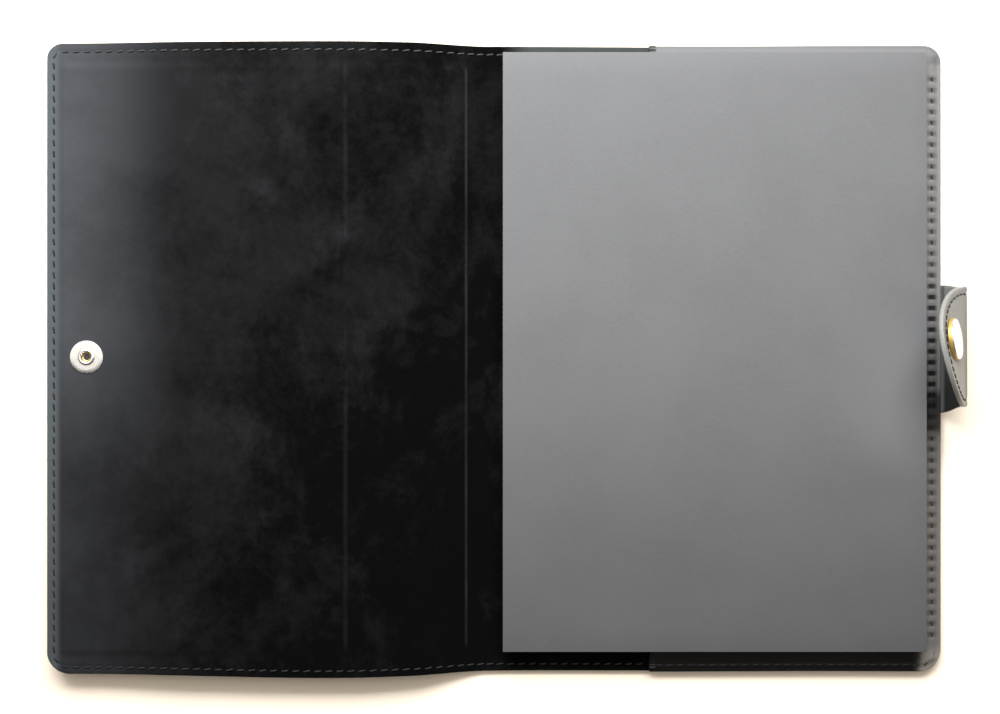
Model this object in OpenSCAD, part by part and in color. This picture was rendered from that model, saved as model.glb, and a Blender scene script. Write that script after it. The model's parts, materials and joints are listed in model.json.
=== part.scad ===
// Leather notebook cover with a snap tab, lying open with an A5 notebook in its pocket.
// X runs from the front panel (left) to the tab (right), Y up the page, Z up.
// The origin is at the middle of the notebook's height, on the table, at the spine.

/* [Cover] */
// Height of the leather along the spine
cover_h = 220.6; // [218:0.1:224]
// X of the back panel's outer edge
back_edge = 155.9; // [154.5:0.1:158]
// X of the front panel's outer edge
front_edge = -158.8; // [-160:0.1:-156]
// Radius of the cover's corners
corner_r = 7; // [4:0.5:9]
// Thickness of the outer leather
leather = 1.2; // [1:0.1:1.4]
// Thickness of the suede lining
lining = 0.8; // [0.6:0.1:0.8]
// Thickness of the board inside the front panel
board = 0.8; // [0.5:0.1:0.8]

/* [Folds] */
// X of the fold between the back panel and the spine
fold_back = 3.2; // [3:0.1:3.4]
// Width of the spine between its two folds
spine_w = 10.2; // [10:0.1:10.6]
// X of the crease where the hinge strip meets the front panel
crease_x = -24; // [-26:0.5:-22]
// Height of the front panel's fold line when the cover lies open
front_z = 6.8; // [6.4:0.1:7.2]
// Leather left clear on each side of the spine's fold lines
fold_gap = 1.25; // [1.15:0.05:1.4]
// Leather left clear on each side of the crease
crease_gap = 0.4; // [0.3:0.05:0.5]

/* [Pocket] */
// X of the pocket's mouth
mouth_x = 53; // [45:1:60]
// Thickness of the pocket leather
pocket_t = 1; // [0.8:0.1:1]
// Height of the gap that the notebook's back board slides into
pocket_gap = 1.2; // [1.1:0.1:1.3]

/* [Notebook] */
// Height of the notebook
book_h = 210; // [208:0.5:211]
// Width of the notebook
book_w = 147.8; // [146:0.1:148]
// X of the notebook's spine when the cover lies open
book_x = 1; // [0.8:0.1:1.2]
// How far the notebook sits above the middle of the cover
book_y = 1.75; // [0:0.25:2]
// Thickness of each cover board
book_board = 0.8; // [0.6:0.1:0.8]
// Thickness of the block of pages
block_t = 3; // [2:0.1:3]

/* [Tab] */
// Y of the middle of the tab
tab_y = 3; // [0:0.5:4]
// Width of the tab
tab_w = 42; // [36:1:44]
// Thickness of the tab
tab_t = 1.6; // [1.4:0.1:1.8]
// Length of the tab's lower link, from the edge to the bend
link_len = 12.8; // [12.6:0.1:13]
// Slope of the lower link above the table, in degrees
link_slope = 78; // [74:1:80]
// Slope of the upper part above the table, in degrees
arm_slope = 129; // [127:1:131]
// Sideways lean of the upper part, in degrees
arm_lean = 12; // [8:1:18]
// Distance from the end of the bend to the middle of the snap
snap_reach = 12.3; // [12.2:0.1:12.4]
// Distance from the middle of the snap to the tip of the tab
tip_reach = 10.4; // [10:0.1:14]
// Radius of the tab's round end
tip_r = 21; // [18:0.5:21]

/* [Snap] */
// Distance of the stud from the front panel's outer edge
stud_inset = 14; // [13:0.1:15]
// Radius of the snap's visible cap
cap_r = 7.3; // [6.5:0.1:7.6]
// Radius of the stud's head
stud_r = 3.3; // [3:0.1:3.4]
// Radius of the eyelet's flange
flange_r = 5.7; // [5:0.1:6]

/* [Stitching] */
// Distance of the seam from the leather's edge
margin = 2.5; // [2.2:0.1:3]
// Distance from one stitch to the next
pitch = 3.95; // [3.5:0.05:4.5]
// Diameter of the thread
thread = 0.6; // [0.4:0.1:0.7]

/* [Hidden] */
$fn = 64;
skin = leather + lining;          // thickness of the two leathers together
mid = skin / 2;                   // height of the fold lines above the table
fold_front = fold_back - spine_w; // X of the fold between the spine and the hinge strip
strip_rise = front_z - mid;
strip_run = fold_front - crease_x;
strip_len = norm([strip_run, strip_rise]);
strip_slope = atan2(strip_rise, strip_run);
front_len = crease_x - front_edge;
front_low = front_z - mid - board / 2 - 0.2; // underside of the front panel's leather
play = 0.2;                       // air between the notebook and the leather
seam_y = cover_h / 2 - margin;
seam_x = back_edge - margin;
board_z = skin + play;                           // underside of the notebook's back board
pocket_z = skin + pocket_gap;                    // underside of the pocket's leather
pocket_top = pocket_z + pocket_t;
block_z = pocket_top + play;
front_board_z = block_z + block_t;
spine_r = 1.6;                    // rounding of the notebook's lower spine edge
cloth_t = 0.45;                   // thickness of the notebook's spine cloth
cloth_turn = 5;                   // how far the cloth turns in under the pages
endpaper_t = 0.1;
ply_gap = 0.02;                   // air between two plies of one piece
roll_r = mid - 0.05;              // radius of the rolls along the spine's folds
web_t = 0.7;                      // thickness of the leather that joins the rolls
board_rim = 5;                    // leather left round the front panel's board
tab_root = [back_edge + 1.1, tab_y, skin - 0.2];
bend_r = 4;                       // radius of the bend above the lower link
bend_turn = arm_slope - link_slope;
neck_w = 14;                      // width of the bend's stiff middle
tab_end_d = 13;                   // depth of the tab's end inside the seam
socket_r = 5.6;
socket_h = 1.85;
cavity_r = stud_r + 0.35;
cap_h = 1.6;
cap_dome_r = 24;
rim_h = 0.5;                      // straight edge of the cap, and of the stud's flange
stud_h = 4.2;
neck_in = 0.7;                    // how far the stud's neck is set in from its head
post_r = 1.5;                     // radius of the eyelet's post
groove_d = 0.8;                   // depth of the socket's groove, which holds its spring
stud_x = stud_inset - front_len;  // from the crease
black = [0.05, 0.05, 0.055];
suede = [0.11, 0.11, 0.12];
card = [0.38, 0.38, 0.39];
steel = [0.82, 0.82, 0.84];

// A flat outline with its two left corners or its two right corners rounded
module panel(x0, x1, h, t, round_left, round_right) {
    r = corner_r;
    linear_extrude(t) difference() {
        translate([x0, -h / 2]) square([x1 - x0, h]);
        for (side = [-1, 1], end = [0, 1])
            if ((end == 0 && round_left) || (end == 1 && round_right))
                translate([end == 0 ? x0 : x1, side * h / 2]) difference() {
                    square(2 * r, center = true);
                    translate([end == 0 ? r : -r, -side * r]) circle(r);
                }
    }
}

// A row of stitches along Y, each a short bar with its ends turned down into the leather
module stitch_row(from, to, z) {
    n = floor((to - from) / pitch);
    for (i = [0 : n - 1])
        translate([0, from + (i + 0.5) * (to - from) / n, z])
            cube([thread, pitch * 0.7, thread], center = true);
}

// Places a piece drawn from the fold between spine and strip, lying to its left
module on_strip() {
    translate([fold_front, 0, mid]) rotate([0, strip_slope, 0]) children();
}

// Places a piece drawn from the crease, lying to its left, with its leather's underside at z = 0
module on_front() {
    translate([crease_x, 0, front_low]) children();
}

// Places a piece on the tab's lower link: x runs up the link, z points to the inside of the curl
module on_link() {
    translate(tab_root) rotate([0, -link_slope, 0]) children();
}

// Places a piece at the end of the bend: x runs to the tip, z points to the inside of the curl
module on_arm() {
    on_link() translate([link_len, 0, 0])
        translate([bend_r * sin(bend_turn), 0, bend_r * (1 - cos(bend_turn))])
            rotate([0, -bend_turn, 0]) rotate([0, 0, arm_lean]) children();
}

// ---- Back panel ----
module back_outer_leather() {
    color(black) panel(fold_back + fold_gap, back_edge, cover_h, leather, false, true);
}

module back_lining() {
    color(suede) difference() {
        translate([0, 0, leather]) panel(fold_back + fold_gap, back_edge, cover_h, lining, false, true);
        translate([back_edge - tab_end_d - 0.1, tab_y - tab_w / 2 - 0.1, 0])
            cube([tab_end_d + 5, tab_w + 0.2, 5]);
    }
}

module pocket_panel() {
    color(black) translate([0, 0, pocket_z]) panel(mouth_x, back_edge, cover_h, pocket_t, false, true);
    // its three edges, which come down to the lining
    color(black) difference() {
        translate([0, 0, skin]) panel(mouth_x, back_edge, cover_h, pocket_gap - ply_gap, false, true);
        translate([mouth_x - 1, -seam_y + 1, skin - 1])
            cube([seam_x - mouth_x, 2 * seam_y - 2, pocket_gap + 1]);
    }
}

module back_seam_thread() {
    z = pocket_top + thread / 2;
    color("dimgray") {
        translate([seam_x, 0, 0]) stitch_row(-seam_y + corner_r, seam_y - corner_r, z);
        for (side = [-1, 1]) translate([0, side * seam_y, 0]) rotate(-90)
            stitch_row(mouth_x + 2, seam_x - corner_r, z);
        for (side = [-1, 1]) translate([0, side * seam_y, 0]) rotate(-90)
            stitch_row(fold_back + fold_gap, mouth_x - 1, skin + thread / 2);
    }
}

module pocket_bar_tacks() {
    color("dimgray") for (side = [-1, 1], i = [0 : 2])
        translate([mouth_x + 0.8, side * (seam_y - 0.8 + 0.8 * i), pocket_top + thread / 2])
            cube([1.4, thread, thread], center = true);
}

module tab_sewn_end() {
    color(black) translate([back_edge - tab_end_d, tab_y - tab_w / 2, leather])
        cube([tab_end_d, tab_w, lining]);
}

// ---- Spine and hinge strip ----
module spine_outer_leather() {
    color(black) {
        translate([fold_front + fold_gap, -cover_h / 2, 0]) cube([spine_w - 2 * fold_gap, cover_h, leather]);
        for (x = [fold_front, fold_back]) translate([x, 0, mid]) rotate([90, 0, 0])
            cylinder(r = roll_r, h = cover_h, center = true);
        translate([fold_front, -cover_h / 2, (leather - web_t) / 2]) cube([spine_w, cover_h, web_t]);
    }
}

module spine_lining() {
    color(suede) translate([fold_front + fold_gap, -cover_h / 2, leather])
        cube([spine_w - 2 * fold_gap, cover_h, lining]);
}

module strip_outer_leather() {
    color(black) on_strip() translate([-strip_len + crease_gap, -cover_h / 2, -mid])
        cube([strip_len - crease_gap - fold_gap, cover_h, leather]);
}

module strip_lining() {
    color(suede) on_strip() translate([-strip_len + crease_gap, -cover_h / 2, -mid + leather])
        cube([strip_len - crease_gap - fold_gap, cover_h, lining]);
}

// ---- Front panel ----
module front_outer_leather() {
    color(black) on_front() difference() {
        panel(-front_len, -crease_gap, cover_h, leather, true, false);
        snap_hole();
    }
}

// The hole through the front panel that the snap's post passes
module snap_hole() {
    translate([stud_x, 0, -1]) cylinder(r = post_r + 0.6, h = leather + board + lining + 2);
}

module board_block(h) {
    translate([-front_len + board_rim, -cover_h / 2 + board_rim, leather])
        cube([front_len - board_rim - 2, cover_h - 2 * board_rim, h]);
}

module front_stiffener_board() {
    color("saddlebrown") on_front() difference() {
        board_block(board);
        snap_hole();
    }
}

module front_lining() {
    color(suede) on_front() difference() {
        translate([0, 0, leather + board]) panel(-front_len, -crease_gap, cover_h, lining, true, false);
        snap_hole();
    }
    // its edges, which come down round the board to the outer leather
    color(suede) on_front() difference() {
        translate([0, 0, leather]) panel(-front_len, -crease_gap, cover_h, board - ply_gap, true, false);
        translate([0, 0, -board]) board_block(3 * board);
    }
}

module front_seam_thread() {
    z = leather + board + lining + thread / 2;
    color("dimgray") on_front() {
        translate([-front_len + margin, 0, 0]) stitch_row(-seam_y + corner_r, seam_y - corner_r, z);
        for (side = [-1, 1]) translate([0, side * seam_y, 0]) rotate(-90)
            stitch_row(-front_len + corner_r, -1, z);
    }
}

module snap_stud() {
    color(steel) on_front() translate([stud_x, 0, 0]) mirror([0, 0, 1]) difference() {
        union() {
            cylinder(r = socket_r, h = rim_h);
            cylinder(r = stud_r - neck_in, h = stud_h - 1.2);
            translate([0, 0, stud_h - 1.7]) cylinder(r = stud_r, h = 1.1);
            translate([0, 0, stud_h - 0.6]) cylinder(r1 = stud_r, r2 = stud_r - neck_in, h = 0.6);
        }
        translate([0, 0, -1]) cylinder(r = post_r + 0.02, h = 2.2);
    }
}

module snap_eyelet() {
    top = leather + board + lining;
    color(steel) on_front() translate([stud_x, 0, 0]) difference() {
        union() {
            translate([0, 0, -1]) cylinder(r = post_r, h = top + 1.1);
            translate([0, 0, top]) cylinder(r = flange_r, h = 0.3);
            translate([0, 0, top]) cylinder(r = post_r + 0.9, h = 0.9);
            translate([0, 0, top]) difference() {
                cylinder(r = flange_r, h = 0.6);
                translate([0, 0, -1]) cylinder(r = flange_r - 1.6, h = 3);
            }
        }
        cylinder(r = post_r - 0.4, h = 9);
    }
}

// ---- Tab ----
module tab_link_leather() {
    color(black) {
        translate([tab_root[0], tab_y, tab_root[2]]) rotate([90, 0, 0])
            cylinder(r = 0.7, h = tab_w, center = true);
        on_link() translate([0, -tab_w / 2, -0.5]) cube([3, tab_w, 1]);
        on_link() translate([1.6, -tab_w / 2, -tab_t / 2]) cube([link_len - 2.6, tab_w, tab_t]);
    }
}

// The upper part's outline, from the bend to its half-round end
module arm_outline() {
    half = tab_w / 2;
    end_x = snap_reach + tip_reach - tip_r;
    skew = tan(arm_lean) * half;
    difference() {
        union() {
            translate([end_x, 0]) circle(tip_r);
            polygon([[-skew, -half], [skew, half], [end_x, tip_r], [end_x, -tip_r]]);
        }
        rotate(-arm_lean) translate([-3 * half, -2 * half]) square([3 * half, 4 * half]);
    }
}

module tab_arm_leather() {
    color(black) {
        difference() {
            on_arm() translate([0, 0, -tab_t / 2]) linear_extrude(tab_t) arm_outline();
            on_arm() translate([snap_reach, 0, -5]) cylinder(r = cavity_r + 0.6, h = 10);
        }
        // the bend's middle
        on_link() translate([link_len, 0, bend_r]) rotate([90, 0, 0])
            rotate([0, 0, -90]) translate([0, 0, -neck_w / 2]) bend_slice();
    }
}

// The bend as a slice of a tube, from a little above the link to the flat of the arm
module bend_slice() {
    skip = 16;
    rotate([0, 0, skip]) rotate_extrude(angle = bend_turn - skip + 2)
        translate([bend_r - tab_t / 2, 0]) square([tab_t, neck_w]);
}

module tab_edge_thread() {
    sweep = 150; // how far round the end the stitches run, in degrees
    n = 12;
    color("dimgray") on_arm() translate([snap_reach + tip_reach - tip_r, 0, -tab_t / 2 - thread / 4])
        for (i = [0 : n - 1]) rotate(sweep * (i / (n - 1) - 0.5))
            translate([tip_r - margin, 0, 0]) cube([thread, 2.4, thread / 2], center = true);
}

module snap_cap() {
    color(steel) on_arm() translate([snap_reach, 0, -tab_t / 2]) mirror([0, 0, 1]) difference() {
        union() {
            cylinder(r = cap_r, h = rim_h);
            translate([0, 0, rim_h]) intersection() {
                translate([0, 0, cap_h - rim_h - cap_dome_r]) sphere(cap_dome_r, $fn = 96);
                cylinder(r = cap_r, h = cap_h);
            }
        }
        translate([0, 0, -1]) cylinder(r = cavity_r, h = 1.4);
    }
}

module snap_socket() {
    color(steel) on_arm() translate([snap_reach, 0, 0]) difference() {
        union() {
            translate([0, 0, tab_t / 2]) cylinder(r = socket_r, h = socket_h);
            translate([0, 0, -tab_t / 2]) cylinder(r = cavity_r + 0.55, h = tab_t + 0.1);
        }
        translate([0, 0, -5]) cylinder(r = cavity_r, h = 10);
        translate([0, 0, tab_t / 2 + 0.7]) cylinder(r = cavity_r + groove_d, h = 0.7);
    }
}

module snap_spring() {
    color("silver") on_arm() translate([snap_reach, 0, tab_t / 2 + 1.05])
        for (side = [-1, 1]) translate([0, side * (cavity_r + groove_d / 2), 0])
            cube([1.8, 0.5, 0.5], center = true);
}

// ---- Notebook ----
module notebook_back_board() {
    color(card) translate([book_x + spine_r + 0.6, book_y - book_h / 2, board_z])
        cube([book_w - spine_r - 0.6, book_h, book_board]);
}

module notebook_page_block() {
    color("ivory") translate([book_x + 0.5, book_y - book_h / 2 + 0.5, block_z])
        cube([book_w - 1, book_h - 1, block_t]);
}

module notebook_spine_cloth() {
    // an upright strip with a rounded foot that turns in under the pages to the back board
    low = board_z + book_board;
    color(card) translate([book_x, book_y - book_h / 2, 0]) rotate([-90, 0, 0]) mirror([0, 1, 0])
        linear_extrude(book_h) difference() {
            union() {
                translate([0, low + spine_r]) square([cloth_t, front_board_z - low - spine_r]);
                translate([spine_r, low + spine_r]) circle(spine_r);
                translate([spine_r, low]) square([cloth_turn, block_z - low - 0.1]);
            }
            translate([cloth_t, block_z - ply_gap]) square(20);
        }
}

module notebook_staples() {
    color(steel) for (y = [-60, 60])
        translate([book_x + cloth_t + 0.01, book_y + y - 6, block_z + 1]) cube([0.03, 12, 0.5]);
}

module notebook_front_board() {
    lift = endpaper_t + ply_gap;
    color(card) translate([book_x, book_y - book_h / 2, front_board_z + lift])
        cube([book_w, book_h, book_board - lift]);
}

module notebook_endpaper() {
    color("white") translate([book_x + 1, book_y - book_h / 2 + 0.5, front_board_z + ply_gap])
        cube([book_w - 1.5, book_h - 1, endpaper_t]);
}

back_outer_leather();
back_lining();
pocket_panel();
back_seam_thread();
pocket_bar_tacks();
tab_sewn_end();
spine_outer_leather();
spine_lining();
strip_outer_leather();
strip_lining();
front_outer_leather();
front_stiffener_board();
front_lining();
front_seam_thread();
snap_stud();
snap_eyelet();
tab_link_leather();
tab_arm_leather();
tab_edge_thread();
snap_cap();
snap_socket();
snap_spring();
notebook_back_board();
notebook_page_block();
notebook_spine_cloth();
notebook_staples();
notebook_front_board();
notebook_endpaper();
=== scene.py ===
"""A black leather notebook cover, lying open with an A5 notebook in its pocket."""

import json
import math
import random

import bmesh
import bpy
import numpy as np
from mathutils import Matrix, Vector


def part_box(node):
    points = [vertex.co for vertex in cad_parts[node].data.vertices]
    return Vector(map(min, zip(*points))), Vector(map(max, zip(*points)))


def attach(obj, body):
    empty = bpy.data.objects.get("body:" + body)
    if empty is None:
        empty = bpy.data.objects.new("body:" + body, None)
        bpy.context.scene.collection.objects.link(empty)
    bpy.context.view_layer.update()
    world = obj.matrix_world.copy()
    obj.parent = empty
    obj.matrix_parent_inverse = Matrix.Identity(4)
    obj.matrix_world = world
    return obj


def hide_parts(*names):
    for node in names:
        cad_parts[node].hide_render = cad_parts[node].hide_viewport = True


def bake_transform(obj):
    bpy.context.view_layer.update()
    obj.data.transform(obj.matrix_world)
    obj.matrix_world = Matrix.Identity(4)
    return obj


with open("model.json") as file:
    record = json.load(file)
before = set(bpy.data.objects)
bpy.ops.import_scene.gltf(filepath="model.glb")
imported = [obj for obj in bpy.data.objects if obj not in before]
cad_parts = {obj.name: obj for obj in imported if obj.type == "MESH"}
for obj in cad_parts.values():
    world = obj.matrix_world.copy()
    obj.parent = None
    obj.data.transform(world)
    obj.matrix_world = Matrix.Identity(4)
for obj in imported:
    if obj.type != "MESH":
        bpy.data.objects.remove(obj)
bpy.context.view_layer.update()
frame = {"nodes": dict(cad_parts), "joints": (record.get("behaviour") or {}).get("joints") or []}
random.seed(7)
MM = 0.001
JOINT = {j["name"]: j for j in frame["joints"]}


# ---- Places and sizes, in millimetres, from the frame ----
def low(node):
    return [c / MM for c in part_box(node)[0]]


def high(node):
    return [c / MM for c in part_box(node)[1]]


def joint_at(name):
    return [c / MM for c in JOINT[name]["pos_m"]]


BACK_EDGE = high("back_outer_leather")[0]
FRONT_EDGE = low("front_outer_leather")[0]
HALF_H = high("back_outer_leather")[1]
LEATHER = high("back_outer_leather")[2]
LINING = high("back_lining")[2] - LEATHER
SKIN = LEATHER + LINING
FRONT_LOW = low("front_outer_leather")[2]
BOARD = high("front_stiffener_board")[2] - low("front_stiffener_board")[2]
FOLD_BACK = joint_at("spine_fold")[0]
FOLD_FRONT = joint_at("front_fold")[0]
CREASE = joint_at("panel_flatten")[0]
MOUTH = low("pocket_panel")[0]
POCKET_TOP = high("pocket_panel")[2]
SPLIT_SPINE = (FOLD_BACK + FOLD_FRONT) / 2
SPLIT_STRIP = (FOLD_FRONT + CREASE) / 2
MARGIN = 2.5          # from the edges to the seam
HEAD_MARGIN = 3.1     # the same along the top edge
FORE_MARGIN = 3.5     # the fore edge's stitches, pulled deeper into the pocket's leather
PITCH = 3.85
STITCH_LENGTH, STITCH_RADIUS = 2.9, 0.3
SLANT, SLANT_PLAY = 9, 3    # degrees between a stitch and its seam, and how much that varies
MOUTH_GAP = 1.5       # from the pocket's mouth to the seams at its two sides
FORE_STITCHES = 26    # to each side of the middle of the fore edge
# the leather's outer edges, a little fuller than the plates, and their corner radii at the head (1) and foot
OUT_LEFT, OUT_RIGHT = FRONT_EDGE - 0.25, BACK_EDGE + 0.3
CORNERS = {("front", 1): 5.5, ("front", -1): 8.0, ("back", 1): 6.0, ("back", -1): 8.0}
BOW = 1.3             # how far the middle of the front panel arches up
RISE_FROM = -4.0      # where the leather leaves the table
RISE_TO = -33.0       # where it reaches the height of the front panel
BOARD_EDGE = -12.0    # the stiffener's edge, which shows as a crease
BOARD_STEP = BOARD - 0.15   # how far the stiffener raises the lining over it
IMPRINT = -54.0       # the line that the pocket's mouth presses into the lining
FOLD_REACH, CREASE_REACH = 2.6, 8.0   # how far the bend at a fold, and at the crease, runs to each side
POCKET_T = 1.0
FORE_OVERHANG = 0.6   # the notebook's front board's reach over the pages at the fore edge
BOARD_BEVEL = 0.12
STUD_CUT = 1.9        # how much shorter than the CAD's the stud is, to stay clear of the socket's floor


# ---- Materials ----
class Graph:
    """A material's node tree, with short calls for the nodes that these materials use."""

    def __init__(self, name):
        self.material = bpy.data.materials.new(name)
        self.material.use_nodes = True
        self.tree = self.material.node_tree
        self.shader = self.tree.nodes["Principled BSDF"]
        self.coords = self.tree.nodes.new("ShaderNodeTexCoord").outputs["Object"]

    def put(self, socket, value):
        """Sets a shader socket, or links it if the value is another node's output."""
        target = self.shader.inputs[socket] if isinstance(socket, str) else socket
        if hasattr(value, "is_linked"):
            self.tree.links.new(value, target)
        else:
            target.default_value = value

    def noise(self, scale, detail=4.0, rough=0.55, stretch=None):
        n = self.tree.nodes.new("ShaderNodeTexNoise")
        n.inputs["Scale"].default_value = scale
        n.inputs["Detail"].default_value = detail
        n.inputs["Roughness"].default_value = rough
        self.put(n.inputs["Vector"], self.stretched(stretch) if stretch else self.coords)
        return n.outputs["Fac"]

    def patches(self):
        return self.noise(22.0, 5.0, 0.6)

    def cells(self, scale):
        n = self.tree.nodes.new("ShaderNodeTexVoronoi")
        n.inputs["Scale"].default_value = scale
        self.put(n.inputs["Vector"], self.coords)
        return n.outputs["Distance"]

    def stretched(self, scale):
        n = self.tree.nodes.new("ShaderNodeMapping")
        n.inputs["Scale"].default_value = scale
        self.put(n.inputs["Vector"], self.coords)
        return n.outputs["Vector"]

    def axis(self, letter):
        n = self.tree.nodes.new("ShaderNodeSeparateXYZ")
        self.put(n.inputs[0], self.coords)
        return n.outputs[letter]

    def math(self, operation, a, b=0.0, clamp=False):
        n = self.tree.nodes.new("ShaderNodeMath")
        n.operation = operation
        n.use_clamp = clamp
        self.put(n.inputs[0], a)
        self.put(n.inputs[1], b)
        return n.outputs[0]

    def times(self, a, b):
        return self.math("MULTIPLY", a, b)

    def plus(self, a, b, clamp=False):
        return self.math("ADD", a, b, clamp)

    def away(self, value, line=0.0):
        """Distance from a line, to either side."""
        return self.math("ABSOLUTE", self.math("SUBTRACT", value, line))

    def ramp(self, value, low_at, high_at, low_to=0.0, high_to=1.0):
        n = self.tree.nodes.new("ShaderNodeMapRange")
        n.interpolation_type = "SMOOTHSTEP"
        for socket, number in zip(list(n.inputs)[1:5], (low_at, high_at, low_to, high_to)):
            socket.default_value = number
        self.put(n.inputs[0], value)
        return n.outputs[0]

    def band(self, value, centre, half):
        """1 at a line, falling to 0 at half its width to each side."""
        return self.ramp(self.away(value, centre), 0.0, half, 1.0, 0.0)

    def mix(self, fac, a, b):
        n = self.tree.nodes.new("ShaderNodeMix")
        n.data_type = "RGBA"
        self.put(n.inputs["Factor"], fac)
        for socket, value in ((n.inputs["A"], a), (n.inputs["B"], b)):
            self.put(socket, value if hasattr(value, "is_linked") else (*value, 1.0))
        return n.outputs["Result"]

    def layered(self, base, *layers):
        """Lays (where, colour) layers over a base, one on the other."""
        for where, colour in layers:
            base = self.mix(where, base, colour)
        return base

    def bump(self, *layers):
        """Stacks (height, strength, depth in metres) layers onto the shader's normal."""
        normal = None
        for height, strength, depth in layers:
            n = self.tree.nodes.new("ShaderNodeBump")
            n.inputs["Strength"].default_value = strength
            n.inputs["Distance"].default_value = depth
            self.put(n.inputs["Height"], height)
            if normal:
                self.put(n.inputs["Normal"], normal)
            normal = n.outputs["Normal"]
        self.put("Normal", normal)

    def grain(self, *more):
        """The leather's pebbled grain, with any further bump layers over it."""
        self.bump((self.cells(900.0), 0.28, 0.00018), (self.noise(2600.0, 3.0), 0.15, 0.00008), *more)


def smooth_leather():
    """Black leather, with a painted highlight towards its short edges."""
    g = Graph("smooth_leather")
    patches = g.patches()
    # painted highlight: paler towards the short edges
    tone_mask = g.ramp(g.away(g.axis("X")), 0.1475, 0.1545)
    base = g.mix(patches, (0.017, 0.017, 0.018), (0.031, 0.031, 0.033))
    g.put("Base Color", g.mix(tone_mask, base, (0.08, 0.08, 0.082)))
    g.put("Roughness", g.ramp(patches, 0.2, 0.8, 0.42, 0.54))
    g.put("Specular IOR Level", 0.85)
    g.grain((g.noise(70.0, 3.0), 0.12, 0.0006))
    return g.material


def pocket_leather():
    """The same leather round the notebook, with painted highlights along the head, down the fore edge and on
    the foot's corner, painted shadow at the foot and under the tab, and painted shade in the fore edge's
    stitch dimples.
    """
    g = Graph("pocket_leather")
    x, y = g.axis("X"), g.axis("Y")
    patches = g.patches()
    plain = g.mix(patches, (0.02, 0.02, 0.021), (0.036, 0.036, 0.038))
    # painted highlight down the fore edge, paler towards the head
    fore_tone = g.mix(g.ramp(y, -0.06, 0.1), (0.115, 0.108, 0.102), (0.17, 0.166, 0.162))
    fore = g.ramp(x, 0.1475, 0.1515)
    # painted highlight along the head
    head = g.ramp(y, 0.1025, 0.1045)
    # painted highlight on the corner at the foot of the fore edge
    corner = g.times(g.ramp(y, -0.106, -0.101, 1.0, 0.0), g.ramp(x, 0.1465, 0.1505))
    # painted shadow of the notebook along the foot
    foot = g.times(g.ramp(y, -0.1035, -0.1015, 1.0, 0.0), g.ramp(x, 0.1455, 0.1495, 1.0, 0.0))
    # painted shadow of the tab across the fore edge
    below_tab = g.times(g.ramp(g.away(y, -0.0195), 0.005, 0.0095, 0.85, 0.0), g.ramp(x, 0.148, 0.15))
    # the stitches' dimples down the fore edge, with painted shade in them, darkest near the tab where its
    # shadow falls
    beat = g.math("COSINE", g.times(y, 2 * math.pi / (PITCH * MM)))
    off_line = g.away(x, (OUT_RIGHT - FORE_MARGIN) * MM)
    dimple = g.times(g.ramp(beat, 0.45, -0.75), g.ramp(off_line, 0.0006, 0.0028, 1.0, 0.0))
    dimple = g.times(dimple, g.ramp(g.away(y), 0.1, 0.1002, 1.0, 0.0))
    near_tab_shade = g.ramp(g.away(y, 0.002), 0.018, 0.034, 1.0, 0.5)
    g.put("Base Color", g.layered(
        plain, (fore, fore_tone), (head, (0.115, 0.115, 0.117)), (corner, (0.18, 0.165, 0.15)),
        (foot, (0.0008, 0.0008, 0.0008)), (below_tab, (0.009, 0.009, 0.009)),
        (g.times(dimple, near_tab_shade), (0.004, 0.004, 0.004))))
    g.put("Roughness", g.ramp(patches, 0.2, 0.8, 0.5, 0.6))
    g.put("Specular IOR Level", 0.25)
    g.grain()
    return g.material


def tab_leather():
    """The strap's leather, with a painted highlight on its upper part and painted shade down the lower side
    of its link.
    """
    g = Graph("tab_leather")
    place = g.tree.nodes.new("ShaderNodeSeparateXYZ")
    g.put(place.inputs[0], g.tree.nodes["Texture Coordinate"].outputs["Generated"])
    patches = g.patches()
    # painted shade down the lower side of the link
    link = g.mix(g.ramp(place.outputs["Y"], 0.2, 0.85), (0.016, 0.016, 0.016), (0.17, 0.17, 0.172))
    # painted highlight on the upper part
    base = g.mix(g.ramp(place.outputs["Z"], 0.4, 0.56), link, (0.215, 0.214, 0.2))
    g.put("Base Color", g.mix(g.ramp(patches, 0.3, 0.7, 0.0, 0.12), base, (0.03, 0.03, 0.031)))
    g.put("Roughness", g.ramp(patches, 0.2, 0.8, 0.44, 0.54))
    g.put("Specular IOR Level", 0.6)
    g.grain()
    return g.material


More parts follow.
